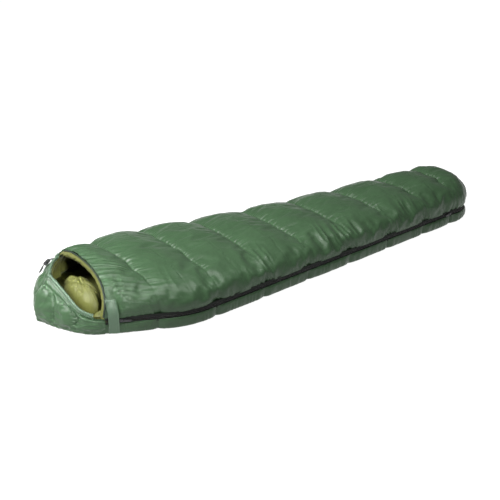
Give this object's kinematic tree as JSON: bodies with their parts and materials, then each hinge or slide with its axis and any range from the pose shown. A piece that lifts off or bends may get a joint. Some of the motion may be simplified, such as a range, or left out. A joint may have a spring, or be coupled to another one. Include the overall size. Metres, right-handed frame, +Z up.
{
  "type": "mummy sleeping bag",
  "caption": "Mummy sleeping bag laid flat and puffed up, with a shaped hood, a zipped quilted top layer that folds open, a draft collar and a drawcord hood.",
  "frame": {"origin": "on the floor under the bag, on its middle line and halfway along its length", "axes": "+X from the hood to the foot, -Y towards the zipped side, +Z up"},
  "size_m": [2.2384, 0.7372, 0.218],
  "materials": {
    "shell_green": "satin polyester",
    "lining_olive": "soft satin polyester",
    "wadding": "matt fibre filling",
    "dark_tape": "matt woven tape",
    "webbing": "matt woven webbing",
    "cord": "braided cord",
    "zip_teeth": "moulded coil",
    "zip_metal": "dark enamelled metal",
    "spring_steel": "bright wire",
    "lock_plastic": "matt moulded plastic"
  },
  "bodies": {
    "base": {"bottom_shell": "shell_green", "bottom_insulation": "wadding", "bottom_lining": "lining_olive", "side_shell": "shell_green", "side_insulation": "wadding", "side_lining": "lining_olive", "side_neck_band": "lining_olive", "side_neck_piping": "dark_tape", "hood_shell": "shell_green", "hood_insulation": "wadding", "hood_lining": "lining_olive", "hood_binding": "shell_green", "drawcord_near": "cord", "drawcord_far": "cord", "drawcord_loop": "cord", "draft_collar": "lining_olive", "zip_tape_lower": "dark_tape", "zip_teeth_lower": "zip_teeth", "zip_stop_lower_head": "zip_metal", "zip_stop_lower_foot": "zip_metal", "loop_patch": "dark_tape", "hang_loop_near": "webbing", "hang_loop_far": "webbing"},
    "top_layer": {"top_shell": "shell_green", "top_insulation": "wadding", "top_lining": "lining_olive", "top_neck_band": "lining_olive", "top_neck_piping": "dark_tape", "zip_tape_upper": "dark_tape", "zip_teeth_upper": "zip_teeth", "zip_stop_upper_head": "zip_metal", "zip_stop_upper_foot": "zip_metal", "draft_tube": "lining_olive"},
    "closure_tab": {"closure_tab": "shell_green", "hook_patch": "dark_tape"},
    "zip_slider_head": {"slider_head": "zip_metal"},
    "zip_pull_head": {"pull_head": "zip_metal"},
    "zip_slider_foot": {"slider_foot": "zip_metal"},
    "zip_pull_foot": {"pull_foot": "zip_metal"},
    "cord_lock": {"cord_lock_body": "lock_plastic", "cord_lock_spring": "spring_steel"},
    "cord_lock_stem": {"cord_lock_stem": "lock_plastic"}
  },
  "joints": [
    {"name": "top_layer_fold", "type": "hinge", "parent": "base", "child": "top_layer", "pos_m": [0, 0.0766, 0.2101], "axis": [-0.9999, 0.0151, 0.0027], "range_deg": [0, 175]},
    {"name": "closure_tab_swing", "type": "hinge", "parent": "top_layer", "child": "closure_tab", "pos_m": [-0.901, -0.24137, 0.146], "axis": [-0.9343, 0.3565, 0], "range_deg": [0, 150]},
    {"name": "head_slider_travel", "type": "slide", "parent": "top_layer", "child": "zip_slider_head", "axis": [0.922, -0.3872, 0], "range_m": [0, 0.13]},
    {"name": "head_pull_swing", "type": "hinge", "parent": "zip_slider_head", "child": "zip_pull_head", "pos_m": [-0.86448, -0.27446, 0.057], "axis": [0, 0, -1], "range_deg": [0, 150]},
    {"name": "foot_slider_travel", "type": "slide", "parent": "top_layer", "child": "zip_slider_foot", "axis": [-0.9937, -0.1123, 0], "range_m": [0, 1.4]},
    {"name": "foot_pull_swing", "type": "hinge", "parent": "zip_slider_foot", "child": "zip_pull_foot", "pos_m": [0.90572, -0.20229, 0.057], "axis": [0, 0, 1], "range_deg": [0, 170]},
    {"name": "cord_lock_travel", "type": "slide", "parent": "base", "child": "cord_lock", "axis": [-0.405, 0.6027, -0.6875], "range_m": [-0.003, 0.012]},
    {"name": "cord_lock_press", "type": "slide", "parent": "cord_lock", "child": "cord_lock_stem", "axis": [-0.7824, -0.6176, -0.0805], "range_m": [0, 0.005], "stiffness_N_per_m": 400, "springref_m": -0.004, "deforming": ["cord_lock_spring"]}
  ]
}
